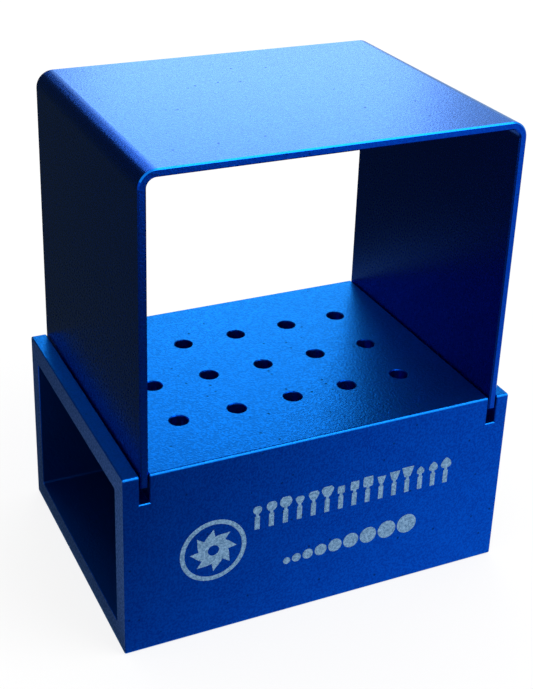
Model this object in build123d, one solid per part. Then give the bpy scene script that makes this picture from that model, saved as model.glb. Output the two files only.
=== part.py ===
"""Dental bur block: a length of rectangular aluminium tube drilled to hold burs, under a bent sheet hood.

Millimetres, +Z up, origin at the centre of the block's underside. X runs along the tube, -Y is the front.
"""
from build123d import *
import os

# Block: extruded rectangular tube, sawn to length
block_length = 53.0        # along X, between the two sawn ends
block_depth = 38.1         # along Y, a 1.5 inch tube
block_height = 25.4        # along Z, a 1 inch tube
tube_wall = 3.0
corner_round = 0.35        # outer corners of the extrusion
bore_corner_round = 0.3    # inner corners of the extrusion
end_break = 0.12           # deburred edges of the sawn ends

# Bur holes, drilled through the top wall into the hollow
shank_diameter = 2.35      # latch-type bur shank, the largest that the block holds
shank_clearance = 0.03     # all round the shank
columns = 5                # along X
rows = 3                   # along Y
column_pitch = 7.85
row_pitch = 9.15
rim_break = 0.12           # countersunk edge at each hole's mouth

# Slots for the hood's legs, milled across the full depth
left_strip = 2.05          # metal left between the left end and its slot
right_strip = 1.8          # metal left between the right end and its slot
slot_depth = 3.9           # goes through the top wall and on into the front and back walls
slot_break = 0.1           # deburred mouth of the slots, all along the outer skin

# Hood: one strip of sheet with two bends
sheet = 1.0
leg_clearance = 0.15       # between a leg and each side of its slot
hood_height = 37.6         # top of the hood above the block's top face
leg_insertion = 1.8        # how far the legs stand in the slots
bend_inside = 1.2          # inside radius of the two bends
sheet_break = 0.18         # tumbled edges of the sheet

shank_hole_radius = shank_diameter / 2 + shank_clearance
slot_width = sheet + 2 * leg_clearance
left_slot_x = -block_length / 2 + left_strip + slot_width / 2
right_slot_x = block_length / 2 - right_strip - slot_width / 2
leg_bottom = block_height - leg_insertion
hood_top = block_height + hood_height
leg_length = hood_top - leg_bottom
hood_width = right_slot_x - left_slot_x + sheet
hood_x = (left_slot_x + right_slot_x) / 2


def tube():
    """The sawn length of extrusion, lying along X with its underside at Z = 0."""
    inner_depth = block_depth - 2 * tube_wall
    inner_height = block_height - 2 * tube_wall
    outside = RectangleRounded(block_depth, block_height, corner_round)
    inside = RectangleRounded(inner_depth, inner_height, bore_corner_round)
    section = Plane.YZ.offset(-block_length / 2) * (outside - inside)
    body = Pos(0, 0, block_height / 2) * extrude(section, amount=block_length)
    ends = body.faces().filter_by(Axis.X)
    return chamfer(ends.edges(), end_break)


def hole_centres():
    """Centres of the bur holes on the top face, row by row from the front left."""
    return [
        ((column - (columns - 1) / 2) * column_pitch, (row - (rows - 1) / 2) * row_pitch)
        for row in range(rows)
        for column in range(columns)
    ]


def bur_hole():
    """What the drill and the countersink take away at one hole, with Z = 0 on the top face."""
    shank = Cylinder(shank_hole_radius, 2 * tube_wall)
    mouth = Cone(shank_hole_radius, shank_hole_radius + 2 * rim_break, 2 * rim_break)
    return shank + mouth


def slot(centre_x):
    """What the cutter takes away for one leg."""
    return Pos(centre_x, 0, block_height) * Box(slot_width, 2 * block_depth, 2 * slot_depth)


def is_slot_mouth(edge):
    """True for an edge where a slot comes out through the outer skin of the tube."""
    middle = edge.center()
    beside = min(abs(middle.X - left_slot_x), abs(middle.X - right_slot_x)) <= slot_width / 2 + slot_break
    on_side = abs(middle.Y) >= block_depth / 2 - corner_round
    on_top = middle.Z >= block_height - corner_round
    return beside and (on_side or on_top)


def block():
    """The drilled and slotted tube that the burs stand in."""
    body = tube()
    drill = bur_hole()
    body -= [Pos(x, y, block_height) * drill for x, y in hole_centres()]
    body -= [slot(left_slot_x), slot(right_slot_x)]
    return chamfer(body.edges().filter_by(is_slot_mouth), slot_break)


def hood():
    """The inverted U of sheet that covers the burs; its legs stand in the block's slots."""
    outside = Rectangle(hood_width, leg_length, align=(Align.CENTER, Align.MIN))
    outside = fillet(outside.vertices().group_by(Axis.Y)[-1], bend_inside + sheet)
    inside = Rectangle(hood_width - 2 * sheet, leg_length - sheet, align=(Align.CENTER, Align.MIN))
    inside = fillet(inside.vertices().group_by(Axis.Y)[-1], bend_inside)
    strip = extrude(Plane.XZ * (outside - inside), amount=block_depth / 2, both=True)
    cut_faces = strip.faces().filter_by(Axis.Y)
    strip = chamfer(cut_faces.edges(), sheet_break)
    return Pos(hood_x, 0, leg_bottom) * strip


def export(node, solid):
    """Writes one named piece."""
    solid.label = node
    export_step(solid, f"parts/{node}.step")


os.makedirs("parts", exist_ok=True)
export("bur_block", block())
export("hood", hood())
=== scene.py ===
import math

import bpy
from mathutils import Matrix, Vector


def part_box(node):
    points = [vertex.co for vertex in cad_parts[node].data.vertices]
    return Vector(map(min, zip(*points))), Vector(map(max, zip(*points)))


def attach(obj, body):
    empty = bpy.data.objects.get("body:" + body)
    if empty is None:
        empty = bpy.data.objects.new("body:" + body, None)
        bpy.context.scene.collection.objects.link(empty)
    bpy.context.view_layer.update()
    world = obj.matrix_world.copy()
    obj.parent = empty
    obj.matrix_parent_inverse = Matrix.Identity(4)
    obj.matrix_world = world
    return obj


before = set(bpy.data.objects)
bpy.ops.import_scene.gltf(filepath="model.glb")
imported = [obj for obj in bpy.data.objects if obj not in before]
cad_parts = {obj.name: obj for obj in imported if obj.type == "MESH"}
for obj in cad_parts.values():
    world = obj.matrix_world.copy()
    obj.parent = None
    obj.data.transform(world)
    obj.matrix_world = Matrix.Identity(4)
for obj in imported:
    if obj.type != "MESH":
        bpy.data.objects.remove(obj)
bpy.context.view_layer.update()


# The camera stands above and to the left of the block's front, as the photograph's does.
# The photograph is a low crop of a wider picture, so the lens is shifted down by a part of that.
MM = 0.001
EYE = Vector((-67.4, -140.3, 112.0)) * MM
LOOKS_ALONG = Vector((0.3935, 0.8191, -0.4175))
ROLL = math.radians(1.96)
PHOTO_HEIGHT = 689          # in pixels
FOCAL_LENGTH = 1323.7       # in pixels of the photograph
SHIFT_DOWN = 0.12

lens = bpy.data.cameras.new("camera")
lens.sensor_width = 36
lens.lens = lens.sensor_width * FOCAL_LENGTH / PHOTO_HEIGHT
lens.shift_y = -SHIFT_DOWN
lens.clip_start, lens.clip_end = 0.01, 10
camera = bpy.data.objects.new("camera", lens)
camera.location = EYE
camera.rotation_mode = "QUATERNION"
camera.rotation_quaternion = LOOKS_ALONG.to_track_quat("-Z", "Y") @ Matrix.Rotation(ROLL, 3, "Z").to_quaternion()
bpy.context.scene.collection.objects.link(camera)
bpy.context.scene.camera = camera
bpy.context.scene.view_settings.view_transform = "Standard"


# The studio: a pale floor in an even white room, with soft lights behind, behind left and overhead.
# The camera and the metal see the floor as white. Cards that only the metal mirrors make its left sides
# dark and shade its front and back, as the room round the photographed block did.
FLOOR_SIZE = 2.0            # in metres
FLOOR_COLOUR = (0.9, 0.9, 0.9, 1)
FLOOR_WHITE = 0.8           # how far the floor seen or mirrored is plain white, and not its lit colour
WHITE = (1, 1, 1, 1)
ROOM_LIGHT = 1.0
DARK, DIM, BRIGHT = 0.04, 0.1, 1.0      # of the cards, where 1 is as bright as the floor
CARD_HEIGHT = 300
LYING = 0.05                # how high a lying card is above the floor
BACK, FRONT, LEFT = 22, -19.2, -26.6    # where the cards begin, just outside the block's sides
DARK_FROM = 75              # how far back the floor behind the block turns fully dark


class Socket:
    """One output of a shader node. Arithmetic on it adds Math nodes beside it."""

    def __init__(self, shader, output):
        self.shader, self.output = shader, output

    def math(self, operation, *values):
        return self.shader.node("ShaderNodeMath", {"operation": operation}, dict(enumerate(values)))

    def __add__(self, other):
        return self.math("ADD", self, other)

    def __sub__(self, other):
        return self.math("SUBTRACT", self, other)

    def __rsub__(self, other):
        return self.math("SUBTRACT", other, self)

    def __mul__(self, other):
        return self.math("MULTIPLY", self, other)

    def __gt__(self, other):
        return self.math("GREATER_THAN", self, other)

    def __lt__(self, other):
        return self.math("LESS_THAN", self, other)

    def __abs__(self):
        return self.math("ABSOLUTE", self)

    def or_more(self, other):
        """The larger of two values."""
        return self.math("MAXIMUM", self, other)

    def stretched(self, low, high):
        """0 up to one value, 1 from the other on, and a straight ramp between them."""
        return self.shader.node("ShaderNodeMapRange", None, {"Value": self, "From Min": low, "From Max": high})

    __radd__, __rmul__ = __add__, __mul__


class Shader:
    """A node tree, emptied and then filled one node at a time."""

    def __init__(self, owner):
        owner.use_nodes = True
        self.tree = owner.node_tree
        self.tree.nodes.clear()

    def node(self, kind, settings=None, inputs=None, output=0):
        """Adds a node: its settings first, then the values or links of its inputs."""
        made = self.tree.nodes.new(kind)
        for name, value in (settings or {}).items():
            setattr(made, name, value)
        for name, value in (inputs or {}).items():
            if isinstance(value, Socket):
                self.tree.links.new(value.output, made.inputs[name])
            else:
                made.inputs[name].default_value = value
        return Socket(self, made.outputs[output]) if made.outputs else made

    def mix(self, share, first, second):
        """A colour between two others."""
        ends = {6: first, 7: second}
        ends = {socket: (*colour, 1) if isinstance(colour, tuple) else colour for socket, colour in ends.items()}
        return self.node("ShaderNodeMix", {"data_type": "RGBA"}, {0: share, **ends}, 2)


def sheets(name, *outlines):
    """Flat sheets of the studio, each given by its corners. They aren't part of the object."""
    points, faces = [], []
    for outline in outlines:
        faces.append(range(len(points), len(points) + len(outline)))
        points.extend(outline)
    mesh = bpy.data.meshes.new(name)
    mesh.from_pydata(points, [], faces)
    made = bpy.data.objects.new(name, mesh)
    bpy.context.scene.collection.objects.link(made)
    return made


half = FLOOR_SIZE / 2
floor = sheets("floor", [(-half, -half, 0), (half, -half, 0), (half, half, 0), (-half, half, 0)])
paint = bpy.data.materials.new("pale_floor")
shader = Shader(paint)
seen, mirrored, through_glass = (
    shader.node("ShaderNodeLightPath", output=f"Is {kind} Ray") for kind in ("Camera", "Glossy", "Transmission")
)
shown = seen.or_more(mirrored).or_more(through_glass)
matt = shader.node("ShaderNodeBsdfDiffuse", None, {"Color": FLOOR_COLOUR})
glow = shader.node("ShaderNodeEmission", None, {"Color": WHITE, "Strength": 1.0})
both = shader.node("ShaderNodeMixShader", None, {0: shown * FLOOR_WHITE, 1: matt, 2: glow})
shader.node("ShaderNodeOutputMaterial", None, {"Surface": both})
floor.data.materials.append(paint)

room = bpy.data.worlds.new("studio")
bpy.context.scene.world = room
shader = Shader(room)
light = shader.node("ShaderNodeBackground", None, {"Color": WHITE, "Strength": ROOM_LIGHT})
shader.node("ShaderNodeOutputWorld", None, {"Surface": light})


def softbox(name, place, aims_at, size, brightness):
    """A rectangular soft light, placed in millimetres, as bright as so many white surfaces."""
    light = bpy.data.lights.new(name, "AREA")
    light.shape, light.size, light.size_y = "RECTANGLE", size[0], size[1]
    light.energy = brightness * math.pi * size[0] * size[1]
    lamp = bpy.data.objects.new(name, light)
    place, aims_at = Vector(place) * MM, Vector(aims_at) * MM
    lamp.location = place
    lamp.rotation_mode = "QUATERNION"
    lamp.rotation_quaternion = (aims_at - place).to_track_quat("-Z", "Y")
    lamp.visible_camera = False
    bpy.context.scene.collection.objects.link(lamp)


softbox("behind", place=(143, 318, 198), aims_at=(0, 0, 50), size=(0.15, 0.13), brightness=3.0)
softbox("behind_left", place=(-24, 206, 206), aims_at=(-24, 0, 62), size=(0.12, 0.05), brightness=3.0)
softbox("overhead", place=(115, -130, 260), aims_at=(0, 0, 40), size=(0.16, 0.16), brightness=3.8)


def lying(*corners):
    """The outline of a card that lies on the floor."""
    return [(x, y, LYING) for x, y in corners]


def standing(*ends):
    """The outline of a card that stands on the floor between two points."""
    (x, y), (other_x, other_y) = ends
    return [(x, y, LYING), (other_x, other_y, LYING), (other_x, other_y, CARD_HEIGHT), (x, y, CARD_HEIGHT)]


def graded(shader, direction, start, end, first, last):
    """A brightness that goes from one value to another between two distances along a direction."""
    place = shader.node("ShaderNodeTexCoord", output="Object")
    distance = shader.node("ShaderNodeVectorMath", {"operation": "DOT_PRODUCT"}, {0: place, 1: direction}, "Value")
    ends = {"From Min": start * MM, "From Max": end * MM, "To Min": first, "To Max": last}
    return shader.node("ShaderNodeMapRange", None, {"Value": distance, **ends})


def cards(name, brightness, *outlines):
    """Cards that only the metal mirrors. They keep the white floor and room out of the faces turned to them."""
    made = sheets(name, *([Vector(corner) * MM for corner in outline] for outline in outlines))
    made.visible_camera = made.visible_diffuse = made.visible_shadow = False
    paper = bpy.data.materials.new(name)
    shader = Shader(paper)
    strength = graded(shader, *brightness) if isinstance(brightness, tuple) else brightness
    glow = shader.node("ShaderNodeEmission", None, {"Color": WHITE, "Strength": strength})
    shader.node("ShaderNodeOutputMaterial", None, {"Surface": glow})
    made.data.materials.append(paper)


cards(
    "cards_behind_left",
    DARK,
    lying(
        (LEFT, -22), (LEFT, DARK_FROM), (200, DARK_FROM), (200, 220),
        (-170, 220), (-170, 70), (-55, 5),
    ),
    standing((10, 220), (-170, 220)),
    standing((-170, 70), (-170, 220)),
)
cards(
    "card_close_behind",
    (Vector((0, 1, 0)), BACK, DARK_FROM, BRIGHT, DARK),
    lying((LEFT, BACK), (200, BACK), (200, DARK_FROM), (LEFT, DARK_FROM)),
)
cards(
    "card_in_front",
    (Vector((0.9, 0.95, 0)), -68, -2, DIM, BRIGHT),
    lying((-250, -260), (40, -260), (40, -140), (250, -140), (250, FRONT), (-250, FRONT)),
)


# The block: a length of extruded aluminium tube, drilled, slotted, bead-blasted and anodised blue as one piece.
# The dye took greyer on the sawn ends. The deck is tinted greener as a painted highlight, the inside of the tube
# is darkened with painted shade, and the upward-facing front and back edges are lighter, partly from wear and
# partly as a painted highlight.
TUBE_WALL = 3.0
DYE = (0.0, 0.033, 0.36)
DYE_PALE = (0.0, 0.063, 0.51)
# A greener blue painted onto the deck's top face, as the colour of its highlights
DECK_HIGHLIGHT_TINT = (0.0, 0.23, 0.46)
DECK_HIGHLIGHT_SHARE = 0.18           # how far the deck's painted highlight tint covers the dye
PIT_DYE = (0.0, 0.014, 0.13)
# Pale blue for edges that face upwards: partly wear, partly a painted highlight of the overhead light
WORN_EDGE_AND_GLINT = (0.004, 0.17, 0.72)
SAWN = (0.03, 0.085, 0.29)
SAWN_PALE = (0.09, 0.18, 0.52)
# Painted shade: a dark navy for the inside of the tube
INSIDE_SHADE = (0.0, 0.03, 0.19)
BLOCK_GRAZING = (0.55, 1.0, 1.0, 1)
BLOCK_ROUGHNESS = 0.34
SAWN_ROUGHER, INSIDE_ROUGHER = 0.22, 0.15
EDGE_WIDTH = 0.4            # how far in from the front and back the worn and glinting edges reach
EDGE_TILT = 0.3             # how far, at least, a worn and glinting edge turns away from its two faces
SKIN = 0.02                 # how near a face a point has to be to count as on it, in millimetres
CLOUDS_PER_MM = 0.22
GRAINS_PER_MM = 3.4
PITS_PER_MM = 0.7
PIT_RIM, PIT_FLOOR = 0.14, 0.09         # distance from a pit's centre, as a share of the spacing
PITS_LEFT_OUT = 0.7         # share of the places for a pit that stay smooth
PIT_DARK = 0.75
PIT_ROUGHER, GRAIN_ROUGHER = 0.2, 0.06
CLOUD_SHARE, GRAIN_SHARE = 0.25, 0.75
GRAIN_DEPTH = 0.000012      # in metres, as a Bump node takes it


def in_millimetres(shader):
    """The place on the piece, in millimetres from the part's origin."""
    place = shader.node("ShaderNodeTexCoord", output="Object")
    return shader.node("ShaderNodeVectorMath", {"operation": "SCALE"}, {0: place, "Scale": 1 / MM})


def along(shader, vector, axis):
    """One coordinate of a vector."""
    return shader.node("ShaderNodeSeparateXYZ", None, {0: vector}, axis)


def blasted_anodise(shader, place, dye, pale_dye, smoothest, coarseness):
    """Colour, roughness and relief of satin blue: fine blasted grain with a few pits, under uneven dye."""
    cloud = shader.node("ShaderNodeTexNoise", None, {"Vector": place, "Scale": CLOUDS_PER_MM, "Detail": 3.0})
    grain = shader.node(
        "ShaderNodeTexNoise", None, {"Vector": place, "Scale": GRAINS_PER_MM, "Detail": 2.0, "Roughness": 0.6}
    )
    centre_distance, chance = (
        shader.node("ShaderNodeTexVoronoi", None, {"Vector": place, "Scale": PITS_PER_MM}, output)
        for output in ("Distance", "Color")
    )
    speckle = grain.stretched(0.4, 0.6)
    pit = centre_distance.stretched(PIT_RIM, PIT_FLOOR) * (along(shader, chance, "X") > PITS_LEFT_OUT)
    colour = shader.mix(cloud.stretched(0.3, 0.7) * CLOUD_SHARE + speckle * GRAIN_SHARE, dye, pale_dye)
    colour = shader.mix(PIT_DARK * pit, colour, PIT_DYE)
    rough = smoothest + GRAIN_ROUGHER * coarseness * (1 - speckle) + PIT_ROUGHER * pit
    return colour, rough, (speckle - pit) * coarseness


def worn_and_glinting_edges(shader, place, half_depth):
    """1 on the broken and rounded edges along the front and the back, where they face upwards: partly wear, partly
    a painted highlight where the overhead light glints.
    """
    faces = shader.node("ShaderNodeTexCoord", output="Normal")
    near_edge = abs(along(shader, place, "Y")) > half_depth - EDGE_WIDTH
    upwards, outwards = along(shader, faces, "Z"), abs(along(shader, faces, "Y"))
    return near_edge * (upwards > EDGE_TILT) * (outwards > EDGE_TILT)


def finish_metal(shader, colour, rough, relief, grazing):
    """Ends a material in a metal surface, with the colour that it takes on when it is seen along its face."""
    normal = shader.node("ShaderNodeBump", None, {"Strength": 1.0, "Distance": GRAIN_DEPTH, "Height": relief})
    metal = shader.node(
        "ShaderNodeBsdfPrincipled",
        None,
        {"Base Color": colour, "Metallic": 1.0, "Roughness": rough, "Normal": normal, "Specular Tint": grazing},
    )
    shader.node("ShaderNodeOutputMaterial", None, {"Surface": metal})


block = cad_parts["bur_block"]
block_low, block_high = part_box("bur_block")
block_half_length, block_half_depth, block_height = (
    (block_high.x - block_low.x) / 2 / MM,
    (block_high.y - block_low.y) / 2 / MM,
    (block_high.z - block_low.z) / MM,
)

block_blue = bpy.data.materials.new("blue_anodised_block")
shader = Shader(block_blue)
place = in_millimetres(shader)
colour, rough, relief = blasted_anodise(shader, place, DYE, DYE_PALE, BLOCK_ROUGHNESS, coarseness=1.0)
x, y, z = (along(shader, place, axis) for axis in "XYZ")
on_deck = z > block_height - SKIN
on_end = abs(x) > block_half_length - SKIN
within_sides = abs(y) < block_half_depth - TUBE_WALL + SKIN
within_floor_and_top = abs(z - block_height / 2) < block_height / 2 - TUBE_WALL + SKIN
in_tube = within_sides * within_floor_and_top
# Painted highlight: the deck's top face is tinted greener, as its highlights look
colour = shader.mix(DECK_HIGHLIGHT_SHARE * on_deck, colour, DECK_HIGHLIGHT_TINT)
# Partly wear, partly painted highlight: upward-facing front and back edges are lightened where the overhead light
# glints
colour = shader.mix(worn_and_glinting_edges(shader, place, block_half_depth), colour, WORN_EDGE_AND_GLINT)
colour = shader.mix(on_end, colour, shader.mix(relief, SAWN, SAWN_PALE))
# Painted shade: the inside of the tube is darkened in its colour
colour = shader.mix(in_tube, colour, INSIDE_SHADE)
rough = rough + SAWN_ROUGHER * on_end + INSIDE_ROUGHER * in_tube
finish_metal(shader, colour, rough, relief, BLOCK_GRAZING)
block.data.materials.clear()
block.data.materials.append(block_blue)


# The hood: one strip of aluminium sheet, bent twice, blasted and anodised like the block but a little smoother.
# Its legs stand in the block's two slots, where friction holds them, and the front and back edges of its top are
# lighter, partly from wear and partly as a painted highlight.
HOOD_DYE = (0.0, 0.034, 0.40)
HOOD_DYE_PALE = (0.0, 0.052, 0.46)
HOOD_GRAZING = (0.72, 1.0, 1.0, 1)
HOOD_ROUGHNESS = 0.25

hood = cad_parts["hood"]
hood_blue = bpy.data.materials.new("blue_anodised_hood")
shader = Shader(hood_blue)
place = in_millimetres(shader)
colour, rough, relief = blasted_anodise(shader, place, HOOD_DYE, HOOD_DYE_PALE, HOOD_ROUGHNESS, coarseness=0.5)
# Partly wear, partly painted highlight: upward-facing front and back edges are lightened where the overhead light
# glints
colour = shader.mix(worn_and_glinting_edges(shader, place, block_half_depth), colour, WORN_EDGE_AND_GLINT)
finish_metal(shader, colour, rough, relief, HOOD_GRAZING)
hood.data.materials.clear()
hood.data.materials.append(hood_blue)


# The marking on the block's front: a bur's end view in a ring, a chart of bur heads and a row of graded dots.
# A laser bleached it into the blue, which left it pale, matt and a little blotchy, with hardly any height.
ETCHED = (0.07, 0.17, 0.31)
ETCHED_PALE = (0.19, 0.35, 0.54)
MARK_RELIEF = 0.02          # how far it stands proud
BLOTCHES_PER_MM = 3.0
BLOTCH_DEPTH = 0.00003      # in metres
ROUND = 48                  # sides of a circle
RING_CENTRE, RING_RADIUS, RING_LINE = (-15.0, 12.4), 4.4, 0.6
BLADES, BLADE_TIP, BLADE_ROOT, BLADE_HOLE = 8, 3.1, 1.95, 0.75
BLADE_HOLLOW = 0.6          # below 1, a blade's back curves inwards
BLADE_SWEEP = 0.86          # share of its turn that a blade's back takes, before its cutting face
CHART_LEFT, CHART_LOW, CHART_PITCH, SIZES_OF_EACH, GROWTH = -9.2, 13.9, 1.93, 3, 0.2
SHANK_HEIGHT, SHANK_HALF, NECK_HEIGHT, NECK_HALF = 1.9, 0.34, 0.4, 0.2
HEAD_START, HEAD_STEP = 0.05, 0.26
HEADS = [                   # half widths of the head from its neck to its tip, for the smallest of each kind
    (0.34, 0.54, 0.60, 0.54, 0.34),     # round
    (0.30, 0.44, 0.57, 0.62, 0.40),     # pear
    (0.46, 0.50, 0.50, 0.50, 0.46),     # straight
    (0.30, 0.40, 0.48, 0.56, 0.62),     # inverted cone
    (0.42, 0.56, 0.52, 0.36, 0.08),     # flame
]
DOTS, DOTS_LEFT, DOTS_LOW, DOT_SMALLEST, DOT_LARGEST, DOT_GAP = 9, -5.4, 7.4, 1.0, 2.85, 0.25

front = block_low.y / MM
points, faces = [], []


def polar(centre, radius, turns):
    """A point of the front face, by its distance and its angle from another."""
    angle = 2 * math.pi * turns
    return centre[0] + radius * math.cos(angle), centre[1] + radius * math.sin(angle)


def circle(centre, radius):
    """Points round a circle on the front face."""
    return [polar(centre, radius, step / ROUND) for step in range(ROUND)]


def mark(outline, hole=None):
    """One flat mark on the front face, with or without a hole that has as many corners as the outline."""
    start, count = len(points), len(outline)
    points.extend(Vector((x, front, z)) * MM for x, z in outline + (hole or []))
    if hole:
        following = [(corner + 1) % count for corner in range(count)]
        faces.extend(
            (start + corner, start + after, start + count + after, start + count + corner)
            for corner, after in enumerate(following)
        )
    else:
        faces.append(tuple(range(start, start + count)))


mark(circle(RING_CENTRE, RING_RADIUS), circle(RING_CENTRE, RING_RADIUS - RING_LINE))

cutter = []
for blade in range(BLADES):
    for step in range(ROUND // BLADES):
        share = step / (ROUND // BLADES - 1)
        radius = BLADE_TIP + (BLADE_ROOT - BLADE_TIP) * share ** BLADE_HOLLOW
        cutter.append(polar(RING_CENTRE, radius, (blade + BLADE_SWEEP * share) / BLADES))
mark(cutter, circle(RING_CENTRE, BLADE_HOLE))

for place_in_chart in range(len(HEADS) * SIZES_OF_EACH):
    kind, size = divmod(place_in_chart, SIZES_OF_EACH)
    growth = 1 + GROWTH * size
    head_low = SHANK_HEIGHT + NECK_HEIGHT
    half_widths = [SHANK_HALF, SHANK_HALF, NECK_HALF, NECK_HALF] + [width * growth for width in HEADS[kind]]
    heights = [0, SHANK_HEIGHT, SHANK_HEIGHT, head_low]
    heights += [head_low + growth * (HEAD_START + HEAD_STEP * row) for row in range(len(HEADS[kind]))]
    middle = CHART_LEFT + CHART_PITCH * place_in_chart
    right_side = [(middle + width, CHART_LOW + height) for width, height in zip(half_widths, heights)]
    left_side = [(middle - width, CHART_LOW + height) for width, height in zip(half_widths, heights)]
    mark(right_side + left_side[::-1])

dot_left = DOTS_LEFT
for dot in range(DOTS):
    across = DOT_SMALLEST + (DOT_LARGEST - DOT_SMALLEST) * dot / (DOTS - 1)
    mark(circle((dot_left + across / 2, DOTS_LOW + across / 2), across / 2))
    dot_left += across + DOT_GAP

mesh = bpy.data.meshes.new("etched_marking")
mesh.from_pydata(points, [], faces)
marking = bpy.data.objects.new("etched_marking", mesh)
bpy.context.scene.collection.objects.link(marking)
thickness = marking.modifiers.new("relief", "SOLIDIFY")
thickness.thickness = 2 * MARK_RELIEF * MM
thickness.offset = 0

etched = bpy.data.materials.new("laser_etched")
shader = Shader(etched)
place = in_millimetres(shader)
blotches = shader.node(
    "ShaderNodeTexNoise", None, {"Vector": place, "Scale": BLOTCHES_PER_MM, "Detail": 3.0, "Roughness": 0.7}
)
bleached = blotches.stretched(0.38, 0.62)
lift = shader.node("ShaderNodeBump", None, {"Strength": 0.6, "Distance": BLOTCH_DEPTH, "Height": bleached})
matt = shader.node(
    "ShaderNodeBsdfPrincipled",
    None,
    {"Base Color": shader.mix(bleached, ETCHED, ETCHED_PALE), "Metallic": 0.3, "Roughness": 0.65, "Normal": lift},
)
shader.node("ShaderNodeOutputMaterial", None, {"Surface": matt})
mesh.materials.append(etched)
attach(marking, "block")
